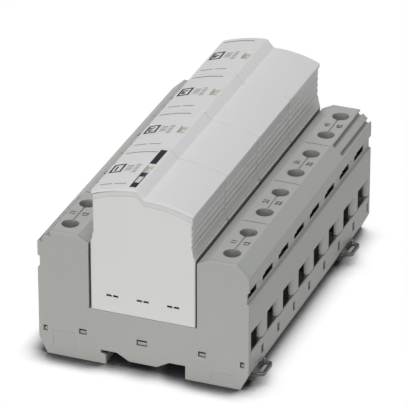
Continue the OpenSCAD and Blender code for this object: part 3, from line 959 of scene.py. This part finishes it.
@dataclass
class Plug:
    """One pull-out plug: finishes, the label's plain marks and the lens over its status window."""

    index: int
    pitch: float = 36.0
    half_length: float = 72.0
    window_x: Tuple[float, float] = (-6.0, -3.0)
    window_y: Tuple[float, float] = (-2.7, 3.9)
    lens_play: float = 0.05
    lens_rim: float = 0.4
    lens_sinks: Tuple[float, ...] = (-0.30, -0.05, -0.25, -0.05)
    label: Label = Label()
    tint_steps: int = 6
    tint_reach: Tuple[float, float] = (0.2, 0.36)
    tint_play: float = 0.06

    @property
    def middle(self) -> float:
        """Middle of the plug along the rail, in millimetres."""
        return -self.half_length + (self.index - 0.5) * self.pitch

    @property
    def body(self) -> str:
        """The CAD body that the plug's pieces ride on."""
        return f"plug_{self.index}"

    def dress(self, palette: Palette) -> None:
        """Gives the plug's solids their finishes.

        Args:
            palette: where the finishes come from.
        """
        palette.dress(f"plug_housing_{self.index}", Finish.HOUSING)
        palette.dress(f"plug_cover_{self.index}", Finish.COVER)
        palette.dress(f"gap_cartridge_{self.index}", Finish.CARTRIDGE)
        palette.dress(f"status_flag_{self.index}", Finish.FLAG)

    def mark(self, palette: Palette) -> None:
        """Prints the label field with plain figures and ruled lines.

        Args:
            palette: where the finishes come from.
        """
        ground = Ground(f"plug_cover_{self.index}")
        sheet = MarkSheet(f"plug_marks_{self.index}", ground, self.body, "plug_cover_grey")
        label, y = self.label, self.middle
        black, grey, soft = Finish.INK_BLACK, Finish.INK_GREY, Finish.INK_SOFT
        x0, x1, low, high = label.frame
        sheet.frame(x0, x1, y + low, y + high, label.frame_line, black)
        x, rise = label.figure_place
        sheet.number(self.index, x, y + rise, label.figure, black)
        for count, (x0, x1, low, high) in label.columns:
            for k in range(count):
                rise = label.line_step * k
                sheet.box(x0, x1, y + low + rise, y + high + rise, soft)
        for x0, x1, low, high in label.foot_rules:
            sheet.box(x0, x1, y + low, y + high, soft)
        x0, x1, low, high = label.head_rule
        sheet.box(x0, x1, y + low, y + high, grey)
        if self.index == 1:
            self._bars(sheet)
        self._tint(sheet)
        sheet.publish(palette)

    def _bars(self, sheet: MarkSheet) -> None:
        """Prints the dark fields along the ridge, with a bare writing field in the lower one.

        Args:
            sheet: the plug's marks.
        """
        label, y = self.label, self.middle
        x0, x1 = label.bar_x
        left, right = x0 + label.writing_edges[0], x1 - label.writing_edges[1]
        fold = x0 + label.swatch_edge
        black = Finish.INK_BLACK
        fields = (
            (x0, x1, label.upper_bar, black),
            (x0, x1, label.lower_bar, black),
            (x0, left, label.writing, black),
            (right, x1, label.writing, black),
            (left, right, label.writing, Finish.INK_PALE),
            (x0, fold, label.swatch, black),
            (fold, x1, label.swatch, Finish.INK_BLUE),
        )
        for start, end, (low, high), ink in fields:
            sheet.box(start, end, y + low, y + high, ink)

    def _tint(self, sheet: MarkSheet) -> None:
        """Prints the pale wedge between the window and the ridge.

        Args:
            sheet: the plug's marks.
        """
        y0, y1 = (self.middle + v for v in self.window_y)
        x0 = self.window_x[1]
        steps = self.tint_steps
        shortest, growth = self.tint_reach
        for k in range(steps):
            reach = shortest + growth * (k + 0.5) / steps
            low = y0 + (y1 - y0) * k / steps
            high = low + (y1 - y0) / steps
            sheet.box(x0 + self.tint_play, x0 + reach, low, high, Finish.TINT)

    def glaze(self, palette: Palette) -> None:
        """Sets the milky lens into the status window, in two facets with a diagonal fold; one
        facet is a darker copy of the lens, as painted shade.

        Args:
            palette: where the finishes come from.
        """
        ground = Ground(f"plug_cover_{self.index}")
        (x0, x1), (y0, y1) = self.window_x, self.window_y
        rim = self.lens_rim
        inset = rim + self.lens_play
        corners = ((x0, y0, -1, -1), (x1, y0, 1, -1), (x1, y1, 1, 1), (x0, y1, -1, 1))
        tops = []
        for (x, y, dx, dy), sink in zip(corners, self.lens_sinks):
            point = ground.at((x + dx * rim) * MM, (self.middle + y + dy * rim) * MM, 0.0)
            tops.append(point + Vector((-dx * inset * MM, -dy * inset * MM, sink * MM)))
        mesh = bmesh.new()
        upper = [mesh.verts.new(point) for point in tops]
        # This facet takes the darker lens copy as painted shade.
        mesh.faces.new((upper[0], upper[1], upper[3])).material_index = 1
        mesh.faces.new((upper[1], upper[2], upper[3]))
        data = bpy.data.meshes.new(f"status_lens_{self.index}")
        mesh.to_mesh(data)
        mesh.free()
        for finish in (Finish.LENS, Finish.LENS_PAINTED_SHADE):
            data.materials.append(palette.material(finish))
        lens = bpy.data.objects.new(data.name, data)
        bpy.context.scene.collection.objects.link(lens)
        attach(lens, self.body)
        LOG.info("%s: lens", lens.name)


@dataclass(frozen=True)
class Panel:
    """A square lamp that faces down: place in metres, power in watts and side in metres."""

    name: str
    place: Tuple[float, float, float]
    power: float
    size: float

    def hang(self) -> None:
        """Adds the lamp to the scene."""
        data = bpy.data.lights.new(self.name, "AREA")
        data.energy = self.power
        data.size = self.size
        lamp = bpy.data.objects.new(self.name, data)
        lamp.location = self.place
        bpy.context.scene.collection.objects.link(lamp)


@dataclass(frozen=True)
class FarLamp:
    """A broad far lamp: the way from the part to it, its strength and its width in degrees."""

    name: str
    towards: Tuple[float, float, float]
    strength: float
    spread: float

    def hang(self) -> None:
        """Adds the lamp to the scene."""
        data = bpy.data.lights.new(self.name, "SUN")
        data.energy = self.strength
        data.angle = math.radians(self.spread)
        lamp = bpy.data.objects.new(self.name, data)
        lamp.rotation_mode = "QUATERNION"
        lamp.rotation_quaternion = Vector(self.towards).normalized().to_track_quat("Z", "Y")
        bpy.context.scene.collection.objects.link(lamp)


@dataclass
class Studio:
    """White floor, soft light and the camera of the photograph."""

    azimuth: float = 21.058
    elevation: float = 27.813
    distance: float = 1586.85
    target: Tuple[float, float, float] = (-2.181, 0.0, 32.145)
    lens: float = 348.09
    sensor: float = 36.0
    clip: Tuple[float, float] = (0.05, 20.0)
    floor_z: float = -5.9
    sky: float = 0.12
    # Painted contact shadow on the floor: reach, lean, strength, tone, and how fast the white
    # gives way.
    shadow_reach: float = 11.0
    shadow_lean: Tuple[float, float, float] = (0.19, 0.71, 0.678)
    shadow_gain: float = 2.0
    shadow_tone: Colour = (0.03, 0.03, 0.035)
    clear_gain: float = 2.2
    floor_size: float = 3.0
    floor_tones: Tuple[Colour, Colour] = ((0.93, 0.93, 0.93), (0.95, 0.95, 0.95))
    floor_roughness: float = 0.9
    lamps: Tuple[Union[Panel, FarLamp], ...] = (
        Panel("overhead", (0.0, -0.12, 0.965), 5.0, 0.5),
        FarLamp("front_top", (0.0, -0.6, 0.8), 0.52, 40.0),
        FarLamp("front_right", (0.5, -0.5, 0.7), 0.21, 40.0),
        FarLamp("front_low", (0.0, -1.0, 0.2), 0.95, 25.0),
    )

    def camera(self) -> None:
        """Places the camera at the photograph's viewing angle."""
        a, e = math.radians(self.azimuth), math.radians(self.elevation)
        back = Vector((math.sin(a) * math.cos(e), -math.cos(a) * math.cos(e), math.sin(e)))
        data = bpy.data.cameras.new("camera")
        data.sensor_width = self.sensor
        data.lens = self.lens
        data.clip_start, data.clip_end = self.clip
        camera = bpy.data.objects.new("camera", data)
        camera.location = (Vector(self.target) + back * self.distance) * MM
        camera.rotation_mode = "QUATERNION"
        camera.rotation_quaternion = (-back).to_track_quat("-Z", "Y")
        bpy.context.scene.collection.objects.link(camera)
        bpy.context.scene.camera = camera

    def floor(self) -> None:
        """Lays a wide pale floor: white where seen in the open, with a painted contact shadow near
        the part over the lamps' own shadow.
        """
        mesh = bmesh.new()
        bmesh.ops.create_grid(mesh, x_segments=1, y_segments=1, size=self.floor_size)
        data = bpy.data.meshes.new("floor")
        mesh.to_mesh(data)
        mesh.free()
        shader = ShaderBuilder.named("floor_white")
        tight = shader.crevice(self.shadow_reach * MM, self.shadow_lean)
        seen = shader.seen()
        tone = shader.mix(shader.noise(*FLOOR_CLOUDS), *self.floor_tones)
        # Painted shadow: near the part the floor's colour is darkened, for what is seen, by
        # ambient occlusion.
        shadow = (tight * self.shadow_gain).clamped()
        tone = shader.mix(seen * shadow, tone, self.shadow_tone)
        paint = {"Base Color": tone, "Roughness": self.floor_roughness}
        lit = shader.node("ShaderNodeBsdfPrincipled", inputs=paint)
        white = shader.node("ShaderNodeEmission", inputs={"Color": WHITE, "Strength": 1.0})
        open_sky = (1.0 - tight * self.clear_gain).clamped()
        surface = shader.node("ShaderNodeMixShader", inputs={0: seen * open_sky, 1: lit, 2: white})
        data.materials.append(shader.close(surface))
        floor = bpy.data.objects.new("floor", data)
        floor.location.z = self.floor_z * MM
        bpy.context.scene.collection.objects.link(floor)

    def light(self) -> None:
        """Sets a soft sky and four broad lamps: one overhead, three in front."""
        world = bpy.data.worlds.new("studio")
        bpy.context.scene.world = world
        shader = ShaderBuilder(world)
        sky = shader.node("ShaderNodeBackground", inputs={"Color": WHITE, "Strength": self.sky})
        white = shader.node("ShaderNodeBackground", inputs={"Color": WHITE, "Strength": 1.0})
        shown = {0: shader.seen(), 1: sky, 2: white}
        shader.close(shader.node("ShaderNodeMixShader", inputs=shown))
        for lamp in self.lamps:
            lamp.hang()


def main() -> None:
    """Dresses every piece in order and sets the studio up."""
    logging.basicConfig(level=logging.INFO, format="%(name)s %(message)s")
    bpy.context.scene.view_settings.view_transform = "Standard"
    palette = Palette()
    base = BaseBlock()
    base.dress(palette)
    base.mark(palette)
    for side in ("right", "left"):
        TerminalRow(side).dress(palette)
    for end in ("near", "far"):
        RailLatch(end).dress(palette)
    for index in range(1, POLES + 1):
        plug = Plug(index)
        plug.dress(palette)
        plug.mark(palette)
        plug.glaze(palette)
    studio = Studio()
    studio.camera()
    studio.floor()
    studio.light()


if __name__ == "__main__":
    main()
